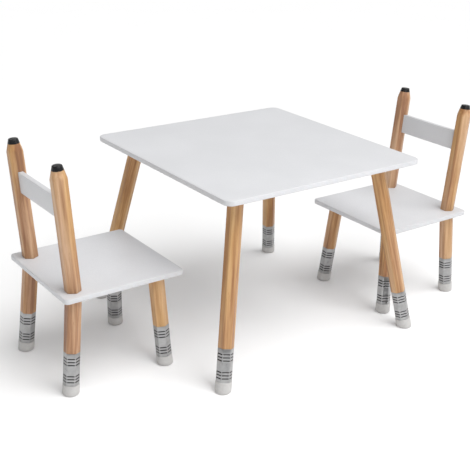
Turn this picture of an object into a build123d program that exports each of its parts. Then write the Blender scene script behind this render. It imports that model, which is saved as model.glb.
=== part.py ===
from build123d import *
import os
from math import cos, radians, sin, tan

# Children's table with four pencil-shaped legs and two matching chairs, in separate pieces.
#
# Millimetres. +Z is up and the floor is z = 0. The origin is on the floor, midway between the
# two chairs. +X runs from the left chair to the right chair, and the set's front faces -Y.
# Each chair is drawn in its own plane: its origin is on the floor below the middle of the seat,
# +X is the way the sitter faces and +Y is the sitter's left.

# ---- Pencil legs and posts: six-sided wood with softened edges ----
pencil_flats = 35.0  # across the flats
pencil_edge_radius = 6.0
ferrule_length = 82.0
ferrule_wall = 1.6
groove_width = 3.0
groove_depth = 0.8
groove_pitch = 7.6
upper_grooves = 3
lower_grooves = 3
upper_groove_margin = 13.5  # from the ferrule's upper end to the middle of its first groove
lower_groove_margin = 10.0
eraser_length = 25.0  # along the leg's axis, from the floor to the ferrule
eraser_proud = 0.9  # the eraser stands out from the ferrule's edges by this much
eraser_edge_radius = 4.0
spigot_length = 28.0  # the eraser's stem inside the ferrule
spigot_clearance = 0.4
tenon_gap = 3.0  # between the eraser's stem and the wood inside the ferrule
tenon_clearance = 0.1

# ---- Hidden fasteners ----
stud_diameter = 8.0
stud_depth = 30.0  # into a leg or a post
stud_hole_clearance = 0.2  # where a stud passes through a seat
nut_diameter = 12.0
nut_cover = 3.0  # board left above an insert nut
dowel_diameter = 6.0
dowel_depth = 14.0  # into a post, and the same into the backrest

# ---- Table ----
top_side = 600.0
top_thickness = 12.5
top_corner_radius = 22.0
table_height = 474.0
table_leg_inset = 79.5  # from the top's edge to a leg's axis, at the underside
table_leg_spread = 81.0  # a foot stands this much further out than the leg's top, both ways
table_leg_turn = 34.0  # degrees from +X to one edge of each leg
table_x = 16.0  # the table stands this far towards the right chair
board_edge_radius = 1.8

# ---- Chairs ----
seat_depth = 310.0  # front to back
seat_width = 304.0
seat_thickness = 12.5
seat_corner_radius = 10.0
seat_height = 255.0
front_leg_inset_x = 52.0
front_leg_inset_y = 46.0
front_leg_spread_x = 14.0
front_leg_spread_y = 20.0
rear_leg_inset_x = 37.0
rear_leg_inset_y = 38.0
rear_leg_spread_x = 22.0
rear_leg_spread_y = 11.0
post_length = 302.0  # along the post's axis, from the seat to the end of the lead
post_lean = 4.7  # degrees backwards
post_foot_chamfer = 1.2
chair_turn = 30.0  # degrees from a chair's X to one edge of its legs and posts
lead_end_radius = 11.0
lead_edge_radius = 1.5
lead_length = 11.0
lead_pin_radius = 4.0
lead_pin_length = 12.0
cone_angle = 14.7  # degrees, from the axis to the sharpened surface
backrest_bottom = 172.0  # above the seat, along a post
backrest_height = 53.0
backrest_thickness = 12.5
notch_depth = 11.0  # how far the backrest's ends go into the posts' inner edges
chair_reach = 447.0  # from the origin to the middle of each seat
left_chair_y = 12.0
right_chair_y = -80.0

# ---- Worked out from the sizes above ----
overrun = 40.0  # extra length, which a board or the floor then trims off
table_underside = table_height - top_thickness
seat_underside = seat_height - seat_thickness
shoulder = eraser_length + ferrule_length  # the floor to the wood's shoulder, along a leg
tenon_inset = ferrule_wall + tenon_clearance
tenon_length = ferrule_length - spigot_length - tenon_gap
edge_rounding = pencil_edge_radius * (1 / cos(radians(30)) - 1)
pencil_radius = pencil_flats / 2 / cos(radians(30)) - edge_rounding  # out to a softened edge
eraser_radius = pencil_radius + eraser_proud
spigot_radius = pencil_flats / 2 - ferrule_wall - spigot_clearance
front_leg_x = seat_depth / 2 - front_leg_inset_x
front_leg_y = seat_width / 2 - front_leg_inset_y
rear_leg_x = rear_leg_inset_x - seat_depth / 2
rear_leg_y = seat_width / 2 - rear_leg_inset_y
notch_face = pencil_radius - notch_depth  # from a post's axis to the bottom of its notch
backrest_half = rear_leg_y - notch_face


def save(piece, name):
    """Labels a finished piece and writes it to its own file."""
    piece.part.label = name
    export_step(piece.part, f"parts/{name}.step")


# ---- Pencil legs ----
def pencil_section(plane, inset=0.0):
    """The six-sided section on a plane, or one that lies inset within it."""
    with BuildSketch(plane) as section:
        RegularPolygon(pencil_flats / 2 - inset, 6, major_radius=False)
        fillet(section.vertices(), pencil_edge_radius - inset)
    return section.sketch


def leg_axis(base, foot, top, turn):
    """Plane at a leg's foot, square to the line from the foot to the top.

    One edge of the six-sided section lies turn degrees round from the base plane's X.
    """
    along = (top - foot).normalized()
    edge = base.x_dir * cos(radians(turn)) + base.y_dir * sin(radians(turn))
    return Plane(origin=foot, x_dir=edge - along * edge.dot(along), z_dir=along)


def make_leg(axis, top, name):
    """Wooden leg, trimmed flush with the board above it, with a tenon for the ferrule."""
    with BuildPart() as leg:
        wood = pencil_section(axis.offset(shoulder))
        extrude(wood, amount=(top - axis.origin).length - shoulder + overrun)
        split(bisect_by=Plane.XY.offset(top.Z), keep=Keep.BOTTOM)
        tenon = pencil_section(axis.offset(shoulder - tenon_length), tenon_inset)
        extrude(tenon, amount=tenon_length)
        with Locations(top):
            Hole(stud_diameter / 2, depth=stud_depth)
    save(leg, name)


def make_ferrule(axis, name):
    """Metal sleeve, with grooves pressed into its flats but not into its edges."""
    lower = [lower_groove_margin + i * groove_pitch for i in range(lower_grooves)]
    first = ferrule_length - upper_groove_margin
    upper = [first - i * groove_pitch for i in range(upper_grooves)]
    with BuildPart() as ferrule:
        extrude(pencil_section(axis.offset(eraser_length)), amount=ferrule_length)
        for middle in lower + upper:
            with BuildSketch(axis.offset(eraser_length + middle - groove_width / 2)):
                Circle(pencil_flats)
                RegularPolygon(
                    pencil_flats / 2 - groove_depth, 6, major_radius=False, mode=Mode.SUBTRACT
                )
            extrude(amount=groove_width, mode=Mode.SUBTRACT)
        bore = pencil_section(axis.offset(eraser_length), ferrule_wall)
        extrude(bore, amount=ferrule_length, mode=Mode.SUBTRACT)
    save(ferrule, name)


def make_eraser(axis, name):
    """Rubber foot, cut flat by the floor, with a stem that goes up inside the ferrule."""
    with BuildPart() as eraser:
        with BuildSketch(axis.offset(-overrun)):
            Circle(eraser_radius)
        extrude(amount=overrun + eraser_length)
        split(bisect_by=Plane.XY, keep=Keep.TOP)
        fillet(eraser.edges().group_by(Axis.Z)[0], eraser_edge_radius)
        with BuildSketch(axis.offset(eraser_length)):
            Circle(spigot_radius)
        extrude(amount=spigot_length)
    save(eraser, name)


def make_pencil_leg(base, foot, top, turn, name):
    """Leg, ferrule and eraser. The foot is given in the base plane's X and Y, the top in X, Y, Z."""
    foot_point = base.from_local_coords(Vector(*foot, 0))
    top_point = base.from_local_coords(Vector(*top))
    axis = leg_axis(base, foot_point, top_point, turn)
    make_leg(axis, top_point, f"{name}_leg")
    make_ferrule(axis, f"{name}_ferrule")
    make_eraser(axis, f"{name}_eraser")


# ---- Boards and their hidden fasteners ----
def make_board(base, size, underside, thickness, corner_radius, nut_points, stud_points, name):
    """Flat board, with blind holes for its insert nuts and through holes for its long studs."""
    with BuildPart() as board:
        with BuildSketch(base.offset(underside)):
            RectangleRounded(*size, corner_radius)
        extrude(amount=thickness)
        fillet(board.faces().filter_by(Axis.Z).edges(), board_edge_radius)
        with Locations(*[base.offset(underside) * Pos(*point) for point in nut_points]):
            Hole(nut_diameter / 2, depth=thickness - nut_cover)
        if stud_points:
            with Locations(*[base.offset(underside) * Pos(*point) for point in stud_points]):
                Hole(stud_diameter / 2 + stud_hole_clearance, depth=thickness + overrun)
    save(board, name)


def make_nuts(base, points, underside, length, name):
    """Threaded insert nuts, flush with a board's underside."""
    with BuildPart() as nuts:
        with BuildSketch(base.offset(underside)):
            with Locations(*points):
                Circle(nut_diameter / 2)
                Circle(stud_diameter / 2, mode=Mode.SUBTRACT)
        extrude(amount=length)
    save(nuts, name)


def make_studs(base, points, bottom, length, name):
    """Upright steel studs."""
    with BuildPart() as studs:
        with BuildSketch(base.offset(bottom)):
            with Locations(*points):
                Circle(stud_diameter / 2)
        extrude(amount=length)
    save(studs, name)


# ---- Table ----
def make_table():
    base = Plane((table_x, 0, 0))
    near = top_side / 2 - table_leg_inset
    far = near + table_leg_spread
    points = []
    for side, x_sign in (("left", -1), ("right", 1)):
        for end, y_sign in (("front", -1), ("rear", 1)):
            foot = (x_sign * far, y_sign * far)
            top = (x_sign * near, y_sign * near, table_underside)
            make_pencil_leg(base, foot, top, table_leg_turn, f"table_{end}_{side}")
            points.append(top[:2])
    nut_length = top_thickness - nut_cover
    make_board(
        base, (top_side, top_side), table_underside, top_thickness, top_corner_radius,
        points, [], "table_top",
    )
    make_nuts(base, points, table_underside, nut_length, "table_insert_nuts")
    make_studs(
        base, points, table_underside - stud_depth, stud_depth + nut_length, "table_leg_studs"
    )


# ---- Chairs ----
def post_plane(base, y):
    """Plane on the seat at the foot of a back post, leaning back with the post."""
    foot = base.from_local_coords(Vector(rear_leg_x, y, seat_height))
    lean = radians(post_lean)
    return Plane(
        origin=foot,
        x_dir=base.x_dir * cos(lean) + base.z_dir * sin(lean),
        z_dir=base.z_dir * cos(lean) - base.x_dir * sin(lean),
    )


def cone_profile(plane, lower, upper):
    """Half of the sharpened end's outline, between two distances below the lead's end."""
    slope = tan(radians(cone_angle))
    with BuildSketch(Plane(plane.origin, x_dir=plane.x_dir, z_dir=-plane.y_dir)) as half:
        Polygon(
            (0, post_length - lower),
            (lead_end_radius + lower * slope, post_length - lower),
            (lead_end_radius + upper * slope, post_length - upper),
            (0, post_length - upper),
            align=None,
        )
    return half.sketch


def dowel_plane(base, plane, y_sign):
    """Plane on the bottom of a post's notch, facing away from the backrest."""
    middle = plane.offset(backrest_bottom + backrest_height / 2).origin
    outward = base.y_dir * y_sign
    return Plane(middle - outward * notch_face, z_dir=outward)


def make_post(base, y_sign, name):
    """Sharpened pencil that leans back, with a notch for the backrest."""
    plane = post_plane(base, y_sign * rear_leg_y)
    notch_length = pencil_flats
    with BuildPart() as post:
        wood = pencil_section(plane.offset(-overrun) * Rot(0, 0, chair_turn))
        extrude(wood, amount=overrun + post_length - lead_length)
        cone = cone_profile(plane, post_length + overrun, lead_length)
        revolve(cone, axis=Axis(plane.origin, plane.z_dir), mode=Mode.INTERSECT)
        split(bisect_by=Plane.XY.offset(seat_height), keep=Keep.TOP)
        chamfer(post.edges().group_by(Axis.Z)[0], post_foot_chamfer)
        with BuildSketch(plane.offset(backrest_bottom)):
            with Locations((0, -y_sign * (notch_face + notch_length / 2))):
                Rectangle(backrest_thickness, notch_length)
        extrude(amount=backrest_height, mode=Mode.SUBTRACT)
        with Locations(plane.origin):
            Hole(stud_diameter / 2, depth=stud_depth)
        with Locations(plane.offset(post_length - lead_length)):
            Hole(lead_pin_radius, depth=lead_pin_length)
        with Locations(dowel_plane(base, plane, y_sign)):
            Hole(dowel_diameter / 2, depth=dowel_depth)
    save(post, f"{name}_back_post")


def make_lead(base, y_sign, name):
    """Black lead that finishes a post's cone, with a pin down into the wood."""
    plane = post_plane(base, y_sign * rear_leg_y)
    with BuildPart() as lead:
        cone = cone_profile(plane, lead_length, 0)
        revolve(cone, axis=Axis(plane.origin, plane.z_dir))
        fillet(lead.edges().sort_by(Axis.Z)[-1], lead_edge_radius)
        with BuildSketch(plane.offset(post_length - lead_length)):
            Circle(lead_pin_radius)
        extrude(amount=-lead_pin_length)
    save(lead, f"{name}_lead_tip")


def make_backrest(base, name):
    """Painted board between the posts, let into their notches, with a dowel at each end."""
    middle = post_plane(base, 0)
    posts = [(post_plane(base, y_sign * rear_leg_y), y_sign) for y_sign in (1, -1)]
    dowel_planes = [dowel_plane(base, plane, y_sign) for plane, y_sign in posts]
    with BuildPart() as board:
        with BuildSketch(middle.offset(backrest_bottom)):
            Rectangle(backrest_thickness, 2 * backrest_half)
        extrude(amount=backrest_height)
        fillet(board.edges().filter_by(Axis(middle.origin, base.y_dir)), board_edge_radius)
        with Locations(*dowel_planes):
            Hole(dowel_diameter / 2, depth=dowel_depth)
    save(board, f"{name}_backrest")
    with BuildPart() as dowels:
        for plane in dowel_planes:
            with BuildSketch(plane.offset(-dowel_depth)):
                Circle(dowel_diameter / 2)
        extrude(amount=2 * dowel_depth)
    save(dowels, f"{name}_backrest_dowels")


def make_chair(base, name):
    front_foot = (front_leg_x + front_leg_spread_x, front_leg_y + front_leg_spread_y)
    rear_foot = (rear_leg_x - rear_leg_spread_x, rear_leg_y + rear_leg_spread_y)
    front_points = [(front_leg_x, front_leg_y), (front_leg_x, -front_leg_y)]
    rear_points = [(rear_leg_x, rear_leg_y), (rear_leg_x, -rear_leg_y)]
    for side, y_sign in (("left", 1), ("right", -1)):
        for end, foot, points in (
            ("front", front_foot, front_points),
            ("rear", rear_foot, rear_points),
        ):
            top = (points[0][0], y_sign * points[0][1], seat_underside)
            place = (foot[0], y_sign * foot[1])
            make_pencil_leg(base, place, top, chair_turn, f"{name}_{end}_{side}")
        make_post(base, y_sign, f"{name}_{side}")
        make_lead(base, y_sign, f"{name}_{side}")
    make_backrest(base, name)
    nut_length = seat_thickness - nut_cover
    make_board(
        base, (seat_depth, seat_width), seat_underside, seat_thickness, seat_corner_radius,
        front_points, rear_points, f"{name}_seat",
    )
    bottom = seat_underside - stud_depth
    make_nuts(base, front_points, seat_underside, nut_length, f"{name}_insert_nuts")
    make_studs(base, front_points, bottom, stud_depth + nut_length, f"{name}_leg_studs")
    make_studs(base, rear_points, bottom, 2 * stud_depth + seat_thickness, f"{name}_post_studs")


os.makedirs("parts", exist_ok=True)
make_table()
make_chair(Plane((-chair_reach, left_chair_y, 0)), "left_chair")
make_chair(Plane((chair_reach, right_chair_y, 0), x_dir=(-1, 0, 0)), "right_chair")
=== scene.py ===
"""The looks of a children's table and two chairs with pencil-shaped legs, round the CAD frame.

Metres. +Z is up, the floor is z = 0 and +X runs from the left chair to the right chair. Each piece
is made in its own axes, with Z along a leg or a post. Its "grain" attribute keeps those coordinates
for the materials, and the mesh is then moved to where the CAD node is.
"""

from math import atan2, cos, pi, radians, sin, sqrt, tan

import bpy
from mathutils import Matrix, Vector


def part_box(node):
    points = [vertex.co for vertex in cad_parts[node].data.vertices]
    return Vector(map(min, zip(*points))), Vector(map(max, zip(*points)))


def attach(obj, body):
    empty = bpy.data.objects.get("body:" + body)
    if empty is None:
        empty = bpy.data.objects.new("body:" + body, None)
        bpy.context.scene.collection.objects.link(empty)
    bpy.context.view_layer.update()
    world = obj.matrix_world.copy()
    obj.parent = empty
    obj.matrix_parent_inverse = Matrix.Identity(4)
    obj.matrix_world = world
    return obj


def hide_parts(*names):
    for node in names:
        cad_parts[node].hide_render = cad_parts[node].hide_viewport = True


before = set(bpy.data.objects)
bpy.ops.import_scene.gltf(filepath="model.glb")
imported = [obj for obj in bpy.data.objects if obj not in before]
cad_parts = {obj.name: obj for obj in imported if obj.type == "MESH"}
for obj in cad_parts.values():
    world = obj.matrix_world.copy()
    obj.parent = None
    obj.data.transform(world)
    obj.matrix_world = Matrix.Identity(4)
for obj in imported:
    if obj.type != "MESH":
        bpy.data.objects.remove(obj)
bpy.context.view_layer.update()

# ---- Pencil legs and posts, as in the part ----
PENCIL_FLATS = 0.035
PENCIL_EDGE_RADIUS = 0.006
ERASER_LENGTH = 0.025
ERASER_PROUD = 0.0009
ERASER_EDGE_RADIUS = 0.004
FERRULE_LENGTH = 0.082
FERRULE_WALL = 0.0016
UPPER_GROOVE_MARGIN = 0.0135
LOWER_GROOVE_MARGIN = 0.010
GROOVE_PITCH = 0.0076
GROOVES_PER_END = 3
TENON_LENGTH = 0.051
TENON_CLEARANCE = 0.0001
SPIGOT_LENGTH = 0.028
SPIGOT_CLEARANCE = 0.0004
TABLE_LEG_INSET = 0.0795
TABLE_LEG_SPREAD = 0.081
TABLE_LEG_TURN = 34.0
FRONT_LEG_INSET = (0.052, 0.046)
FRONT_LEG_SPREAD = (0.014, 0.020)
REAR_LEG_INSET = (0.037, 0.038)
REAR_LEG_SPREAD = (0.022, 0.011)
CHAIR_TURN = 30.0
POST_LENGTH = 0.302
POST_LEAN = 4.7
POST_FOOT_CHAMFER = 0.0012
CONE_ANGLE = 14.7
LEAD_LENGTH = 0.011
LEAD_END_RADIUS = 0.011
BACKREST_BOTTOM = 0.172
BACKREST_HEIGHT = 0.053
BACKREST_THICKNESS = 0.0125
NOTCH_DEPTH = 0.011
TOP_CORNER_RADIUS = 0.022
SEAT_CORNER_RADIUS = 0.010
BOARD_EDGE_RADIUS = 0.0018

# ---- Details that only show ----
GROOVE_DEPTH = 0.0009
GROOVE_HALF_WIDTH = 0.0018
ERASER_SLACK = 0.00025  # rubber a little smaller than in the CAD
LIP = 0.0005  # softened ends of ferrules and shoulders
GRAIN_STEP = (0.0171, 0.0233, 0.0419)  # from one piece's grain to another's
ROSY_WOOD = {"table": -0.06, "left_chair": 0.03, "right_chair": 0.02}  # pinker where higher
NOTCH_GAP = 0.0002  # shadow gap round the backrest in its notches
ERASER_TOP_RADIUS = 0.0011  # where the rubber bulges out below the ferrule
GROOVE_SHOULDER = 1.15  # the metal is flat again at this share of a groove's half width
LEAD_EDGE_RADIUS = 0.0022
LEAD_SHOULDER = 0.00025
LEAD_CROWN = 0.0007  # how far the lead's end bulges
CONE_REACH = 0.026  # below the lead, to past where the cone first meets the edges
CREASE_SOFTNESS = 0.00025  # where a post's flats meet its cone

# ---- Mesh detail ----
EDGE_STEPS = 12  # along each softened edge of a pencil's section
FLAT_STEPS = 6  # along each flat of it
ROUND_STEPS = 72  # round an eraser or a lead
CORNER_STEPS = 12  # round a board's corner
ROUNDING_STEPS = 5  # round a board's softened edge
LEG_STEPS = 7  # up the plain part of a leg
POST_STEPS = 8  # up a post's flats
CONE_STEPS = 44  # up its cone
GROOVE_STEPS = 6  # from the middle of a groove to its side
LEAD_STEPS = 9  # round a lead's end
BOARD_CREASE = 50.0  # degrees; boards and leads stay smooth over wider turns than the wood
LEAD_CREASE = 60.0

# ---- Camera, from the middle of the table's footprint ----
CAMERA_FROM_TABLE = Vector((-1.3974, -1.8073, 1.1693))
CAMERA_YAW = 36.57  # degrees from +Y towards +X
CAMERA_PITCH = -22.45
CAMERA_ROLL = 1.75
CAMERA_LENS = 70.3  # millimetres, on a sensor 36 mm wide

# ---- Floor and light ----
FLOOR_REACH = 30.0
SKY_STRENGTHS = (0.34, 0.66)  # towards -X and towards +X
SUN_STRENGTH = 1.9
SUN_ANGLE = 50.0
SUN_FROM = Vector((0.15, -0.40, 0.90))
FILL_POWER = 5.0
FILL_SIZE = 1.0
FILL_FROM = Vector((0.05, -1.15, 1.25))

APOTHEM = PENCIL_FLATS / 2
PENCIL_RADIUS = APOTHEM / cos(pi / 6) - PENCIL_EDGE_RADIUS * (1 / cos(pi / 6) - 1)
SHOULDER = ERASER_LENGTH + FERRULE_LENGTH
LEAD_BASE = POST_LENGTH - LEAD_LENGTH


# ---- Meshes ----
def loft(name, rings, closed=False, tags=None):
    """Skin over rings of points, with flat ends, or joined end to start where closed."""
    count = len(rings[0])
    spans = len(rings) if closed else len(rings) - 1
    faces = []
    for i in range(spans):
        low, high = i * count, (i + 1) % len(rings) * count
        for j in range(count):
            k = (j + 1) % count
            faces.append((low + j, low + k, high + k, high + j))
    if not closed:
        last = (len(rings) - 1) * count
        faces.append(tuple(reversed(range(count))))
        faces.append(tuple(range(last, last + count)))
    mesh = bpy.data.meshes.new(name)
    mesh.from_pydata([tuple(point) for ring in rings for point in ring], [], faces)
    if tags:
        # per-point tags: edge wear on boards, and on ferrules the groove depth that sets painted
        # shade
        layer = mesh.attributes.new("edge_wear_and_groove_shade", "FLOAT", "POINT")
        layer.data.foreach_set("value", [tag for ring in tags for tag in ring])
    piece = bpy.data.objects.new(name, mesh)
    bpy.context.scene.collection.objects.link(piece)
    return piece


def smooth(piece, angle=38.0):
    """Smooth shading, with creases where faces turn by more than an angle in degrees."""
    piece.data.shade_smooth()
    piece.data.set_sharp_from_angle(angle=radians(angle))


def apply_modifiers(piece):
    depsgraph = bpy.context.evaluated_depsgraph_get()
    mesh = bpy.data.meshes.new_from_object(piece.evaluated_get(depsgraph))
    piece.modifiers.clear()
    piece.data = mesh


def place(piece, matrix, node, body, material):
    """Puts a finished piece where its CAD node is, in that node's stead."""
    mesh = piece.data
    shift = Vector(GRAIN_STEP) * sum(node.encode())  # most pieces show grain of their own
    layer = mesh.attributes.new("grain", "FLOAT_VECTOR", "POINT")
    layer.data.foreach_set("vector", [c for vertex in mesh.vertices for c in vertex.co + shift])
    layer = mesh.attributes.new("rosy", "FLOAT", "POINT")
    layer.data.foreach_set("value", [ROSY_WOOD[body]] * len(mesh.vertices))
    mesh.transform(matrix)
    mesh.materials.clear()
    mesh.materials.append(material)
    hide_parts(node)
    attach(piece, body)


def axes(origin, x_dir, z_dir):
    """Matrix of a piece's own axes: an origin, the way its X points as nearly as can be, and Z."""
    z = Vector(z_dir).normalized()
    x = (Vector(x_dir) - z * z.dot(Vector(x_dir))).normalized()
    y = z.cross(x)
    turned = Matrix((x, y, z)).transposed().to_4x4()
    return Matrix.Translation(origin) @ turned


def height_on_plane(matrix, level, x, y):
    """How far along a piece's Z the point above its (x, y) meets a level plane."""
    turned = matrix.to_3x3()
    return (level - matrix.translation.z - turned[2][0] * x - turned[2][1] * y) / turned[2][2]


# ---- The six-sided section ----
def section_angles():
    """Angles round the section, from its first edge on."""
    centre = (APOTHEM - PENCIL_EDGE_RADIUS) / cos(pi / 6)
    half_edge = atan2(PENCIL_EDGE_RADIUS / 2, centre + PENCIL_EDGE_RADIUS * cos(pi / 6))
    half_flat = tan(pi / 6 - half_edge)
    angles = []
    for k in range(6):
        edge = k * pi / 3
        for i in range(EDGE_STEPS):
            angles.append(edge + half_edge * (2 * i / EDGE_STEPS - 1))
        for i in range(FLAT_STEPS):
            across = 2 * i / FLAT_STEPS - 1
            angles.append(edge + pi / 6 + atan2(across * half_flat, 1))
    return angles


def section_radius(angle, inset=0.0):
    """Distance from a pencil's axis to its surface, or to one that lies inset within it."""
    rounding = PENCIL_EDGE_RADIUS - inset
    apothem = APOTHEM - inset
    turn = (angle + pi / 6) % (pi / 3) - pi / 6
    centre = (apothem - rounding) / cos(pi / 6)
    half_edge = atan2(rounding / 2, centre + rounding * cos(pi / 6))
    if abs(turn) < half_edge:
        return centre * cos(turn) + sqrt(rounding**2 - (centre * sin(turn)) ** 2)
    return apothem / cos(pi / 6 - abs(turn))


SECTION = section_angles()


def section_ring(height, inset=0.0):
    """Ring round the section. The height is a number, or a function of x and y."""
    ring = []
    for angle in SECTION:
        radius = section_radius(angle, inset)
        x, y = radius * cos(angle), radius * sin(angle)
        ring.append((x, y, height(x, y) if callable(height) else height))
    return ring


def round_ring(radius, height):
    ring = []
    for i in range(ROUND_STEPS):
        angle = 2 * pi * i / ROUND_STEPS
        x, y = radius * cos(angle), radius * sin(angle)
        ring.append((x, y, height(x, y) if callable(height) else height))
    return ring


# ---- Pencil legs ----
def leg_mesh(name, matrix, top_level):
    """Wood from inside the ferrule up to the board, cut level under the board."""
    inner = FERRULE_WALL + TENON_CLEARANCE

    def top(x, y):
        return height_on_plane(matrix, top_level, x, y)

    rings = [
        section_ring(SHOULDER - TENON_LENGTH, inner),
        section_ring(SHOULDER, inner),
        section_ring(SHOULDER, LIP),
        section_ring(SHOULDER + LIP * 0.3, LIP * 0.3),
        section_ring(SHOULDER + LIP, 0.0),
    ]
    middle = top(0, 0)
    for i in range(1, LEG_STEPS + 1):
        height = SHOULDER + (middle - PENCIL_FLATS - SHOULDER) * i / LEG_STEPS
        rings.append(section_ring(height))
    rings.append(section_ring(top))
    leg = loft(name, rings)
    smooth(leg)
    return leg


def groove_middles():
    bottom, top = ERASER_LENGTH, ERASER_LENGTH + FERRULE_LENGTH
    lower = [bottom + LOWER_GROOVE_MARGIN + i * GROOVE_PITCH for i in range(GROOVES_PER_END)]
    upper = [top - UPPER_GROOVE_MARGIN - i * GROOVE_PITCH for i in range(GROOVES_PER_END)]
    return lower + upper[::-1]


def ferrule_heights(middles):
    """Heights of the rings between a ferrule's lips, closest together at its grooves."""
    heights = []
    for middle in middles:
        for step in range(-GROOVE_STEPS, GROOVE_STEPS + 1):
            turn = pi / 2 * step / GROOVE_STEPS
            heights.append(middle + GROOVE_HALF_WIDTH * sin(turn))
        heights += [middle + GROOVE_HALF_WIDTH * side * GROOVE_SHOULDER for side in (-1, 1)]
    gap = middles[GROOVES_PER_END] - middles[GROOVES_PER_END - 1]
    plain = middles[GROOVES_PER_END - 1]
    heights += [plain + gap * share for share in (0.25, 0.4, 0.5, 0.6, 0.75)]
    return sorted(heights)


def pressed(middles, height, angle):
    """How deep the metal is pressed at a point: to a smaller flat, and so not at all at an edge."""
    nearest = min(abs(height - middle) for middle in middles)
    if nearest >= GROOVE_HALF_WIDTH:
        return 0.0
    turn = (angle + pi / 6) % (pi / 3) - pi / 6
    bottom = (APOTHEM - GROOVE_DEPTH) / cos(pi / 6 - abs(turn))
    depth = max(section_radius(angle) - bottom, 0.0)
    return depth * sqrt(1 - (nearest / GROOVE_HALF_WIDTH) ** 2)


def ferrule_mesh(name):
    """Crimped sleeve: three grooves at each end, pressed into its flats and not its edges."""
    bottom, top = ERASER_LENGTH, ERASER_LENGTH + FERRULE_LENGTH
    middles = groove_middles()
    rings = [section_ring(top, FERRULE_WALL), section_ring(bottom, FERRULE_WALL)]
    rings += [section_ring(bottom, LIP), section_ring(bottom + LIP * 0.3, LIP * 0.3)]
    tags = [[0.0] * len(SECTION) for _ in rings]
    for height in [bottom + LIP, *ferrule_heights(middles), top - LIP]:
        ring, row = [], []
        for angle in SECTION:
            depth = pressed(middles, height, angle)
            radius = section_radius(angle) - depth
            ring.append((radius * cos(angle), radius * sin(angle), height))
            # this depth share also sets the painted shade in the ferrule's grooves
            row.append(depth / GROOVE_DEPTH)
        rings.append(ring)
        tags.append(row)
    rings += [section_ring(top - LIP * 0.3, LIP * 0.3), section_ring(top, LIP)]
    tags += [[0.0] * len(SECTION) for _ in range(2)]
    ferrule = loft(name, rings, closed=True, tags=tags)
    smooth(ferrule)
    return ferrule


def eraser_mesh(name, matrix):
    """Round rubber foot, level at the floor, with soft edges and a stem in the ferrule."""
    radius = PENCIL_RADIUS + ERASER_PROUD - ERASER_SLACK
    stem = APOTHEM - FERRULE_WALL - SPIGOT_CLEARANCE

    def floor(x, y):
        return height_on_plane(matrix, 0.0, x, y)

    rings = [round_ring(radius * 0.5, floor)]
    steps = ROUNDING_STEPS + 2
    for i in range(steps + 1):
        turn = pi / 2 * i / steps
        inset = ERASER_EDGE_RADIUS * (1 - sin(turn))
        rise = ERASER_EDGE_RADIUS * (1 - cos(turn))
        rings.append(round_ring(radius - inset, lambda x, y: floor(x, y) + rise))
    top = ERASER_LENGTH - ERASER_TOP_RADIUS
    for share in (0.35, 0.7):
        rings.append(
            round_ring(
                radius,
                lambda x, y: top * share + (floor(x, y) + ERASER_EDGE_RADIUS) * (1 - share),
            )
        )
    for i in range(ROUNDING_STEPS + 1):
        turn = pi / 2 * i / ROUNDING_STEPS
        inset = ERASER_TOP_RADIUS * (1 - cos(turn))
        height = ERASER_LENGTH - ERASER_TOP_RADIUS * (1 - sin(turn))
        rings.append(round_ring(radius - inset, height))
    rings.append(round_ring(stem, ERASER_LENGTH))
    rings.append(round_ring(stem, ERASER_LENGTH + SPIGOT_LENGTH))
    eraser = loft(name, rings)
    smooth(eraser)
    return eraser


def pencil_leg(name, body, foot, top, edge_dir, looks):
    """One leg with its ferrule and eraser, from a foot on the floor to a board's underside."""
    matrix = axes(foot, edge_dir, top - foot)
    leg = leg_mesh(f"{name}_wood", matrix, top.z)
    place(leg, matrix, f"{name}_leg", body, looks["wood"])
    ferrule = ferrule_mesh(f"{name}_sleeve")
    place(ferrule, matrix, f"{name}_ferrule", body, looks["metal"])
    eraser = eraser_mesh(f"{name}_rubber", matrix)
    place(eraser, matrix, f"{name}_eraser", body, looks["rubber"])


# ---- Boards ----
def rounding_profile(radius, thickness):
    """(inset, height) pairs up a board's softened edge, from its underside to its top."""
    lower, upper = [], []
    for i in range(ROUNDING_STEPS + 1):
        turn = pi / 2 * i / ROUNDING_STEPS
        lower.append((radius * (1 - sin(turn)), radius * (1 - cos(turn))))
        upper.append((radius * (1 - cos(turn)), thickness - radius * (1 - sin(turn))))
    return lower + upper


def board_mesh(name, size_x, size_y, thickness, corner_radius):
    """Flat board with rounded corners and softened edges, its underside at z = 0."""
    margin = corner_radius * 0.45
    profile = rounding_profile(BOARD_EDGE_RADIUS, thickness)
    profile = [(margin, 0.0), *profile, (margin, thickness)]
    rings, tags = [], []
    for inset, height in profile:
        ring = []
        for k, (x_sign, y_sign) in enumerate(((1, 1), (-1, 1), (-1, -1), (1, -1))):
            for i in range(CORNER_STEPS + 1):
                angle = pi / 2 * (k + i / CORNER_STEPS)
                reach = corner_radius - inset
                x = x_sign * (size_x / 2 - corner_radius) + reach * cos(angle)
                y = y_sign * (size_y / 2 - corner_radius) + reach * sin(angle)
                ring.append((x, y, height))
        rings.append(ring)
        on_edge = 0.0 < inset < BOARD_EDGE_RADIUS * 1.01
        tags.append([1.0 if on_edge else 0.0] * len(ring))
    board = loft(name, rings, tags=tags)
    smooth(board, BOARD_CREASE)
    return board


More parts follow.
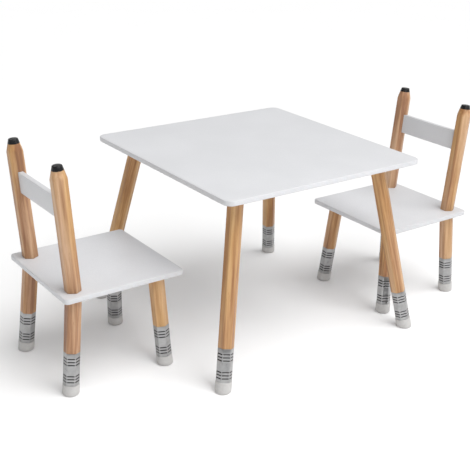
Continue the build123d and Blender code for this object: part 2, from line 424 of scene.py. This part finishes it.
def backrest_mesh(name, half_length):
    """Board between the posts. Its ends are square and sit in the notches."""
    half = BACKREST_THICKNESS / 2
    outline = []
    for k, (x_sign, z_sign) in enumerate(((1, 1), (-1, 1), (-1, -1), (1, -1))):
        for i in range(ROUNDING_STEPS + 1):
            angle = pi / 2 * (k + i / ROUNDING_STEPS)
            x = x_sign * (half - BOARD_EDGE_RADIUS) + BOARD_EDGE_RADIUS * cos(angle)
            z = z_sign * (BACKREST_HEIGHT / 2 - BOARD_EDGE_RADIUS) + BOARD_EDGE_RADIUS * sin(angle)
            outline.append((x, z + BACKREST_BOTTOM + BACKREST_HEIGHT / 2))
    shares = (1, 0.9, 0.5, 0, -0.5, -0.9, -1)
    board = loft(name, [[(x, half_length * share, z) for x, z in outline] for share in shares])
    smooth(board, BOARD_CREASE)
    return board


# ---- Back posts ----
def cone_radius(height):
    return LEAD_END_RADIUS + (POST_LENGTH - height) * tan(radians(CONE_ANGLE))


def soft_least(a, b, softness):
    """The lesser of two numbers, with the change from one to the other rounded off."""
    share = min(max(0.5 + 0.5 * (b - a) / softness, 0.0), 1.0)
    return b * (1 - share) + a * share - softness * share * (1 - share)


def cut_notch(post, side):
    """Notch for the backrest in the post's inner edge, with a shadow gap round the board."""
    face = PENCIL_RADIUS - NOTCH_DEPTH
    half = BACKREST_THICKNESS / 2 + NOTCH_GAP
    low, high = BACKREST_BOTTOM - NOTCH_GAP, BACKREST_BOTTOM + BACKREST_HEIGHT + NOTCH_GAP
    corners = [(-half, low), (half, low), (half, high), (-half, high)]
    rings = [
        [(x, -side * (face - NOTCH_GAP), z) for x, z in corners],
        [(x, -side * (face + PENCIL_FLATS), z) for x, z in corners],
    ]
    cutter = loft("notch_cutter", rings if side > 0 else rings[::-1])
    modifier = post.modifiers.new("notch", "BOOLEAN")
    modifier.operation = "DIFFERENCE"
    modifier.solver = "EXACT"
    modifier.object = cutter
    apply_modifiers(post)
    bpy.data.objects.remove(cutter)


def post_mesh(name, matrix, seat_level, side):
    """Sharpened pencil: where its flats run into the cone they end in arches."""
    turn = radians(CHAIR_TURN)

    def seat(x, y):
        return height_on_plane(matrix, seat_level, x, y)

    def ring_at(height, inset=0.0):
        ring = []
        for angle in SECTION:
            radius = section_radius(angle, inset)
            if not callable(height):
                radius = soft_least(radius, cone_radius(height) - inset, CREASE_SOFTNESS)
            x, y = radius * cos(angle + turn), radius * sin(angle + turn)
            ring.append((x, y, height(x, y) if callable(height) else height))
        return ring

    rings = [
        ring_at(seat, POST_FOOT_CHAMFER),
        ring_at(lambda x, y: seat(x, y) + POST_FOOT_CHAMFER * 0.35, POST_FOOT_CHAMFER * 0.35),
        ring_at(lambda x, y: seat(x, y) + POST_FOOT_CHAMFER),
    ]
    cone_start = LEAD_BASE - CONE_REACH
    rings += [ring_at(cone_start * i / POST_STEPS) for i in range(1, POST_STEPS + 1)]
    rings += [ring_at(cone_start + CONE_REACH * i / CONE_STEPS) for i in range(1, CONE_STEPS)]
    rings += [ring_at(LEAD_BASE - LIP * 0.4), ring_at(LEAD_BASE, LIP * 0.4)]
    post = loft(name, rings)
    cut_notch(post, side)
    smooth(post)
    return post


def lead_mesh(name):
    """Black end of the post: the cone carried on, then rounded over to a nearly flat top."""
    slope = radians(CONE_ANGLE)
    base = cone_radius(LEAD_BASE)
    edge = LEAD_SHOULDER
    rings = [
        round_ring(base * 0.5, LEAD_BASE),
        round_ring(base - edge, LEAD_BASE),
        round_ring(base - edge * 0.3, LEAD_BASE + edge * 0.25),
        round_ring(cone_radius(LEAD_BASE + edge), LEAD_BASE + edge),
    ]
    crown = POST_LENGTH - LEAD_CROWN
    middle_height = crown - LEAD_EDGE_RADIUS
    side_height = middle_height + LEAD_EDGE_RADIUS * sin(slope)
    for i in range(1, 5):
        height = LEAD_BASE + edge + (side_height - LEAD_BASE - edge) * i / 5
        rings.append(round_ring(cone_radius(height), height))
    middle_radius = cone_radius(side_height) - LEAD_EDGE_RADIUS * cos(slope)
    for i in range(LEAD_STEPS + 1):
        angle = slope + (pi / 2 - slope) * i / LEAD_STEPS
        radius = middle_radius + LEAD_EDGE_RADIUS * cos(angle)
        rings.append(round_ring(radius, middle_height + LEAD_EDGE_RADIUS * sin(angle)))
    for share in (0.8, 0.55, 0.3, 0.1):
        height = crown + LEAD_CROWN * (1 - share**2)
        rings.append(round_ring(middle_radius * share, height))
    lead = loft(name, rings)
    smooth(lead, LEAD_CREASE)
    return lead


# ---- Materials ----
class Nodes:
    """Short calls for building a node tree."""

    def __init__(self, name):
        self.material = bpy.data.materials.new(name)
        self.material.use_nodes = True
        self.tree = self.material.node_tree
        self.shader = self.tree.nodes["Principled BSDF"]

    def add(self, kind, inputs=None, **settings):
        node = self.tree.nodes.new(kind)
        for key, value in settings.items():
            setattr(node, key, value)
        for key, value in (inputs or {}).items():
            self.set(node.inputs[key], value)
        return node

    def set(self, socket, value):
        if isinstance(value, bpy.types.NodeSocket):
            self.tree.links.new(value, socket)
        else:
            socket.default_value = value

    def coordinates(self, scale=(1, 1, 1), own=True):
        """A piece's own coordinates, or those of the whole object for a node kept from the CAD."""
        if own:
            vector = self.add("ShaderNodeAttribute", attribute_name="grain").outputs["Vector"]
        else:
            vector = self.add("ShaderNodeTexCoord").outputs["Object"]
        return self.add("ShaderNodeMapping", {"Vector": vector, "Scale": scale}).outputs[0]

    def combine(self, x, y, z):
        return self.add("ShaderNodeCombineXYZ", {"X": x, "Y": y, "Z": z}).outputs[0]

    def noise(self, vector, scale, detail=3.0, roughness=0.55, distortion=0.0):
        node = self.add(
            "ShaderNodeTexNoise",
            {
                "Vector": vector,
                "Scale": scale,
                "Detail": detail,
                "Roughness": roughness,
                "Distortion": distortion,
            },
        )
        return node.outputs["Fac"]

    def math(self, operation, a, b=0.0, clamp=False):
        node = self.add("ShaderNodeMath", {0: a, 1: b}, operation=operation, use_clamp=clamp)
        return node.outputs[0]

    def remap(self, value, low, high, to_low=0.0, to_high=1.0):
        node = self.add(
            "ShaderNodeMapRange",
            {
                "Value": value,
                "From Min": low,
                "From Max": high,
                "To Min": to_low,
                "To Max": to_high,
            },
        )
        return node.outputs["Result"]

    def mix(self, share, a, b, blend="MIX"):
        node = self.add("ShaderNodeMix", data_type="RGBA", blend_type=blend)
        self.set(node.inputs["Factor"], share)
        self.set(node.inputs[6], a)
        self.set(node.inputs[7], b)
        return node.outputs[2]

    def ramp(self, value, stops):
        node = self.add("ShaderNodeValToRGB", {"Fac": value})
        ramp = node.color_ramp
        while len(ramp.elements) < len(stops):
            ramp.elements.new(1.0)
        for element, (position, colour) in zip(ramp.elements, stops):
            element.position = position
            element.color = (*colour, 1.0)
        return node.outputs["Color"]

    def bump(self, height, strength, distance, normal=None):
        inputs = {"Height": height, "Strength": strength, "Distance": distance}
        if normal is not None:
            inputs["Normal"] = normal
        return self.add("ShaderNodeBump", inputs).outputs["Normal"]

    def finish(self, **inputs):
        for key, value in inputs.items():
            name = key.replace("_", " ").title().replace("Ior", "IOR")
            self.set(self.shader.inputs[name], value)
        return self.material


def rgb(red, green, blue):
    return (red, green, blue, 1.0)


def pencil_wood():
    """Oiled beech: streaks and fine fibres along the piece's Z, with small dark flecks."""
    n = Nodes("pencil_wood")
    broad = n.coordinates((1, 1, 0.045))
    fine = n.coordinates((1, 1, 0.018))
    fleck = n.coordinates((1, 1, 0.07))
    drift = n.noise(broad, 34.0, 2.0)
    warp = n.math("MULTIPLY", drift, 0.018)
    bent = n.add(
        "ShaderNodeVectorMath", {0: broad, 1: n.combine(warp, warp, 0.0)}, operation="ADD"
    ).outputs[0]
    streak = n.noise(bent, 95.0, 4.0, 0.6)
    band = n.noise(bent, 42.0, 1.0, 0.4)
    fibre = n.noise(fine, 620.0, 3.0, 0.65)
    tone = n.math("ADD", n.math("MULTIPLY", streak, 0.62), n.math("MULTIPLY", band, 0.38))
    amber = n.ramp(
        tone,
        [
            (0.38, (0.28, 0.125, 0.043)),
            (0.45, (0.42, 0.205, 0.075)),
            (0.50, (0.52, 0.285, 0.110)),
            (0.56, (0.61, 0.365, 0.155)),
            (0.66, (0.73, 0.475, 0.235)),
        ],
    )
    pink = n.ramp(
        tone,
        [
            (0.38, (0.26, 0.120, 0.062)),
            (0.45, (0.39, 0.200, 0.105)),
            (0.50, (0.50, 0.285, 0.160)),
            (0.56, (0.60, 0.375, 0.225)),
            (0.66, (0.72, 0.490, 0.325)),
        ],
    )
    rosy = n.add("ShaderNodeAttribute", attribute_name="rosy").outputs["Fac"]
    hue = n.math("ADD", n.noise(n.coordinates((1, 1, 0.12)), 26.0, 1.0, 0.4), rosy)
    colour = n.mix(n.remap(hue, 0.35, 0.65), amber, pink)
    colour = n.mix(n.remap(fibre, 0.35, 0.65, 0.0, 0.26), colour, rgb(0.40, 0.195, 0.085))
    spots = n.noise(fleck, 900.0, 2.0, 0.5)
    colour = n.mix(n.remap(spots, 0.66, 0.74, 0.0, 0.55), colour, rgb(0.26, 0.105, 0.04))
    height = n.math("ADD", n.math("MULTIPLY", fibre, 0.7), n.math("MULTIPLY", spots, -0.5))
    return n.finish(
        base_color=colour,
        roughness=n.remap(fibre, 0.3, 0.7, 0.36, 0.52),
        normal=n.bump(height, 0.22, 0.0004),
    )


def painted_board():
    """Sprayed satin paint on MDF: a faint orange peel and a barely uneven white."""
    n = Nodes("painted_board")
    plain = n.coordinates((1, 1, 1))
    cloud = n.noise(plain, 7.0, 3.0)
    peel = n.noise(plain, 520.0, 2.0, 0.5)
    grit = n.noise(plain, 1900.0, 1.0)
    edge_wear_and_groove_shade = n.add("ShaderNodeAttribute", attribute_name="edge_wear_and_groove_shade").outputs["Fac"]
    colour = n.mix(n.remap(cloud, 0.35, 0.65), rgb(0.655, 0.66, 0.678), rgb(0.690, 0.695, 0.713))
    mottle = n.noise(plain, 330.0, 2.0, 0.6)
    colour = n.mix(n.remap(mottle, 0.35, 0.65, 0.0, 0.35), colour, rgb(0.60, 0.605, 0.625))
    colour = n.mix(n.math("MULTIPLY", edge_wear_and_groove_shade, 0.35), colour, rgb(0.60, 0.60, 0.61))
    height = n.math("ADD", peel, n.math("MULTIPLY", grit, 0.25))
    return n.finish(
        base_color=colour,
        roughness=n.remap(cloud, 0.3, 0.7, 0.36, 0.46),
        normal=n.bump(height, 0.10, 0.0003),
    )


def ferrule_metal():
    """Satin tin: fine lines round the sleeve, duller down in the pressed grooves, which carry painted
    shade that darkens them to near black.
    """
    n = Nodes("ferrule_metal")
    lines = n.noise(n.coordinates((0.02, 0.02, 1)), 2600.0, 2.0)
    smudge = n.noise(n.coordinates((1, 1, 1)), 70.0, 4.0, 0.6)
    scratch = n.noise(n.coordinates((1, 1, 0.1)), 800.0, 2.0)
    groove_shade_depth = n.add("ShaderNodeAttribute", attribute_name="edge_wear_and_groove_shade").outputs["Fac"]
    colour = n.mix(n.remap(smudge, 0.3, 0.7), rgb(0.34, 0.34, 0.342), rgb(0.46, 0.46, 0.463))
    colour = n.mix(n.remap(scratch, 0.62, 0.72, 0.0, 0.3), colour, rgb(0.62, 0.62, 0.63))
    # painted shade: the deepest part of each pressed groove is darkened to near black, standing in
    # for the shade down in it
    painted_groove_shade = n.remap(groove_shade_depth, 0.45, 0.80, 0.0, 0.97)
    colour = n.mix(painted_groove_shade, colour, rgb(0.022, 0.021, 0.020))
    roughness = n.remap(smudge, 0.3, 0.7, 0.26, 0.38)
    roughness = n.math("ADD", roughness, n.math("MULTIPLY", painted_groove_shade, 0.2))
    return n.finish(
        base_color=colour,
        metallic=1.0,
        roughness=roughness,
        normal=n.bump(lines, 0.10, 0.0002),
    )


def eraser_rubber():
    """Matt off-white rubber with a powdery grain, a little greyer where it meets the floor."""
    n = Nodes("eraser_rubber")
    plain = n.coordinates((1, 1, 1))
    cloud = n.noise(plain, 110.0, 4.0, 0.6)
    grain = n.noise(plain, 1500.0, 2.0)
    along = n.add(
        "ShaderNodeSeparateXYZ", {"Vector": n.add("ShaderNodeTexCoord").outputs["Object"]}
    ).outputs["Z"]
    colour = n.mix(n.remap(cloud, 0.3, 0.7), rgb(0.52, 0.51, 0.50), rgb(0.60, 0.59, 0.58))
    scuffed = n.math("MULTIPLY", n.remap(along, 0.012, 0.0, 0.0, 1.0), cloud, clamp=True)
    colour = n.mix(n.math("MULTIPLY", scuffed, 0.5), colour, rgb(0.38, 0.365, 0.35))
    return n.finish(
        base_color=colour,
        roughness=n.remap(cloud, 0.3, 0.7, 0.56, 0.72),
        normal=n.bump(grain, 0.12, 0.0003),
    )


def lead_black():
    """Black satin enamel over turned wood."""
    n = Nodes("lead_black")
    plain = n.coordinates((1, 1, 1))
    cloud = n.noise(plain, 160.0, 3.0)
    peel = n.noise(plain, 700.0, 2.0)
    colour = n.mix(n.remap(cloud, 0.3, 0.7), rgb(0.006, 0.006, 0.007), rgb(0.013, 0.013, 0.014))
    return n.finish(
        base_color=colour,
        specular_ior_level=0.32,
        roughness=n.remap(cloud, 0.3, 0.7, 0.20, 0.32),
        normal=n.bump(peel, 0.15, 0.0003),
    )


def fastener_steel():
    """Zinc-plated steel, brushed by its thread cutting."""
    n = Nodes("fastener_steel")
    plain = n.coordinates((1, 1, 1), own=False)
    cloud = n.noise(plain, 240.0, 4.0)
    rings = n.noise(n.coordinates((0.1, 0.1, 1), own=False), 900.0, 1.0)
    colour = n.mix(n.remap(cloud, 0.3, 0.7), rgb(0.48, 0.49, 0.50), rgb(0.62, 0.62, 0.60))
    return n.finish(
        base_color=colour,
        metallic=1.0,
        roughness=n.remap(cloud, 0.3, 0.7, 0.25, 0.45),
        normal=n.bump(rings, 0.3, 0.0004),
    )


def dowel_wood():
    """Plain dry beech."""
    n = Nodes("dowel_wood")
    fibre = n.noise(n.coordinates((1, 0.03, 1), own=False), 700.0, 3.0)
    colour = n.mix(n.remap(fibre, 0.3, 0.7), rgb(0.50, 0.31, 0.16), rgb(0.64, 0.43, 0.25))
    return n.finish(
        base_color=colour,
        roughness=n.remap(fibre, 0.3, 0.7, 0.6, 0.75),
        normal=n.bump(fibre, 0.2, 0.0003),
    )


def studio_floor():
    n = Nodes("studio_floor")
    cloud = n.noise(n.coordinates((1, 1, 1), own=False), 2.0, 2.0)
    colour = n.mix(cloud, rgb(0.965, 0.965, 0.965), rgb(0.98, 0.98, 0.98))
    return n.finish(base_color=colour, roughness=0.9)


# ---- The object ----
def finish_hidden(prefix, looks):
    """Materials for the fasteners, which keep their CAD shapes inside the wood."""
    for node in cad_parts.values():
        if not node.name.startswith(prefix):
            continue
        if node.name.endswith(("_nuts", "_studs")):
            material, slot = looks["steel"], "fastener_steel"
        elif node.name.endswith("_dowels"):
            material, slot = looks["dowel"], "dowel_wood"
        else:
            continue
        node.data.materials.clear()
        node.data.materials.append(material)


def make_table(looks):
    low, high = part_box("table_top")
    middle = (low + high) / 2
    near = (high.x - low.x) / 2 - TABLE_LEG_INSET
    far = near + TABLE_LEG_SPREAD
    turn = radians(TABLE_LEG_TURN)
    for side, x_sign in (("left", -1), ("right", 1)):
        for end, y_sign in (("front", -1), ("rear", 1)):
            foot = Vector((middle.x + x_sign * far, middle.y + y_sign * far, 0))
            top = Vector((middle.x + x_sign * near, middle.y + y_sign * near, low.z))
            edge_dir = (cos(turn), sin(turn), 0)
            pencil_leg(f"table_{end}_{side}", "table", foot, top, edge_dir, looks)
    size = high - low
    board = board_mesh("table_board", size.x, size.y, size.z, TOP_CORNER_RADIUS)
    matrix = Matrix.Translation((middle.x, middle.y, low.z))
    place(board, matrix, "table_top", "table", looks["paint"])
    finish_hidden("table_", looks)


def make_chair(name, facing, looks):
    """A chair whose sitter faces +X or -X: facing is 1 or -1."""
    low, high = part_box(f"{name}_seat")
    middle, size = (low + high) / 2, high - low
    turn, lean = radians(CHAIR_TURN), radians(POST_LEAN)

    def at(x, y, z):
        return Vector((middle.x + facing * x, middle.y + facing * y, z))

    ends = (
        ("front", 1, FRONT_LEG_INSET, FRONT_LEG_SPREAD),
        ("rear", -1, REAR_LEG_INSET, REAR_LEG_SPREAD),
    )
    edge_dir = (facing * cos(turn), facing * sin(turn), 0)
    for side, y_sign in (("left", 1), ("right", -1)):
        for end, x_sign, inset, spread in ends:
            x, y = size.x / 2 - inset[0], size.y / 2 - inset[1]
            foot = at(x_sign * (x + spread[0]), y_sign * (y + spread[1]), 0)
            top = at(x_sign * x, y_sign * y, low.z)
            pencil_leg(f"{name}_{end}_{side}", name, foot, top, edge_dir, looks)
        matrix = axes(at(-x, y_sign * y, high.z), (facing, 0, 0), (-facing * sin(lean), 0, cos(lean)))
        post = post_mesh(f"{name}_{side}_pencil", matrix, high.z, y_sign)
        place(post, matrix, f"{name}_{side}_back_post", name, looks["wood"])
        lead = lead_mesh(f"{name}_{side}_lead")
        place(lead, matrix, f"{name}_{side}_lead_tip", name, looks["lead"])
    matrix = axes(at(-x, 0, high.z), (facing, 0, 0), (-facing * sin(lean), 0, cos(lean)))
    backrest = backrest_mesh(f"{name}_back_board", y - PENCIL_RADIUS + NOTCH_DEPTH)
    place(backrest, matrix, f"{name}_backrest", name, looks["paint"])
    board = board_mesh(f"{name}_board", size.x, size.y, size.z, SEAT_CORNER_RADIUS)
    matrix = Matrix.Translation((middle.x, middle.y, low.z))
    place(board, matrix, f"{name}_seat", name, looks["paint"])
    finish_hidden(f"{name}_", looks)


# ---- Studio ----
def make_floor():
    mesh = bpy.data.meshes.new("studio_floor")
    corners = [(x * FLOOR_REACH, y * FLOOR_REACH, 0) for x, y in ((-1, -1), (1, -1), (1, 1), (-1, 1))]
    mesh.from_pydata(corners, [], [(0, 1, 2, 3)])
    floor = bpy.data.objects.new("studio_floor", mesh)
    bpy.context.scene.collection.objects.link(floor)
    mesh.materials.append(studio_floor())


def add_light(name, kind, energy, location, source):
    """A light that shines from a place or a direction towards the origin."""
    data = bpy.data.lights.new(name, kind)
    data.energy = energy
    light = bpy.data.objects.new(name, data)
    light.location = location
    light.rotation_euler = (-source).to_track_quat("-Z", "Y").to_euler()
    bpy.context.scene.collection.objects.link(light)
    return data


def make_lights():
    """A very soft sun from the front, a weak softbox near the front and a pale sky."""
    world = bpy.data.worlds.new("studio")
    bpy.context.scene.world = world
    world.use_nodes = True
    tree = world.node_tree
    aim = tree.nodes.new("ShaderNodeTexCoord")
    parts = tree.nodes.new("ShaderNodeSeparateXYZ")
    strength = tree.nodes.new("ShaderNodeMapRange")
    for key, value in zip(("From Min", "From Max", "To Min", "To Max"), (-1, 1, *SKY_STRENGTHS)):
        strength.inputs[key].default_value = value
    background = tree.nodes["Background"]
    background.inputs["Color"].default_value = (1.0, 1.0, 1.0, 1.0)
    tree.links.new(aim.outputs["Generated"], parts.inputs["Vector"])
    tree.links.new(parts.outputs["X"], strength.inputs["Value"])
    tree.links.new(strength.outputs["Result"], background.inputs["Strength"])
    sun = add_light("sun", "SUN", SUN_STRENGTH, (0, 0, 0), SUN_FROM)
    sun.angle = radians(SUN_ANGLE)
    fill = add_light("fill", "AREA", FILL_POWER, FILL_FROM, FILL_FROM)
    fill.shape = "SQUARE"
    fill.size = FILL_SIZE


def make_camera():
    low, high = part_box("table_top")
    footprint = Vector(((low.x + high.x) / 2, (low.y + high.y) / 2, 0))
    yaw, pitch, roll = radians(CAMERA_YAW), radians(CAMERA_PITCH), radians(CAMERA_ROLL)
    ahead = Vector((sin(yaw) * cos(pitch), cos(yaw) * cos(pitch), sin(pitch)))
    right = Vector((cos(yaw), -sin(yaw), 0))
    up = right.cross(ahead)
    rolled_right = right * cos(roll) + up * sin(roll)
    rolled_up = up * cos(roll) - right * sin(roll)
    data = bpy.data.cameras.new("camera")
    data.lens = CAMERA_LENS
    camera = bpy.data.objects.new("camera", data)
    turned = Matrix((rolled_right, rolled_up, -ahead)).transposed().to_4x4()
    camera.matrix_world = Matrix.Translation(footprint + CAMERA_FROM_TABLE) @ turned
    bpy.context.scene.collection.objects.link(camera)
    bpy.context.scene.camera = camera


looks = {
    "wood": pencil_wood(),
    "paint": painted_board(),
    "metal": ferrule_metal(),
    "rubber": eraser_rubber(),
    "lead": lead_black(),
    "steel": fastener_steel(),
    "dowel": dowel_wood(),
}
make_table(looks)
make_chair("left_chair", 1, looks)
make_chair("right_chair", -1, looks)
make_floor()
make_lights()
make_camera()
bpy.context.scene.view_settings.view_transform = "Standard"

bpy.context.view_layer.update()
